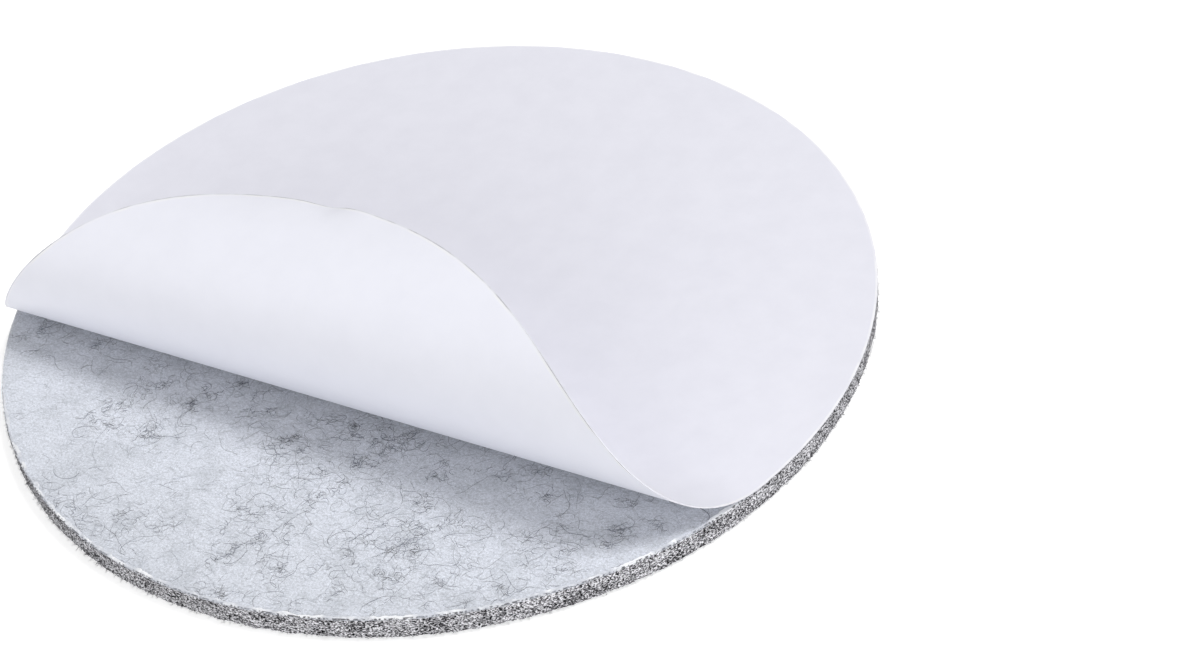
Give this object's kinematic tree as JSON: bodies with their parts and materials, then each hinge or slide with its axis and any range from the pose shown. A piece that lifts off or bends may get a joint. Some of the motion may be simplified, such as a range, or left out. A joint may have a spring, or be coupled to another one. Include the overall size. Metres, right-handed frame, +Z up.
{
  "type": "felt furniture pad",
  "caption": "Round self-adhesive felt pad for a furniture foot, adhesive side up, with its paper release liner partly peeled and curled back.",
  "frame": {"origin": "centre of the felt's underside, the face that slides on the floor", "axes": "+Z up through the layers to the adhesive side, X along the line where the liner leaves the adhesive, -Y towards the bared adhesive"},
  "size_m": [0.1, 0.1, 0.0247],
  "materials": {
    "felt": "needle-punched heather grey felt",
    "adhesive": "clear tacky film, the felt's fibres show through it",
    "liner": "smooth siliconed white paper"
  },
  "bodies": {
    "root": {"felt_disc": "felt", "adhesive_film": "adhesive", "release_liner": "liner"}
  },
  "joints": []
}
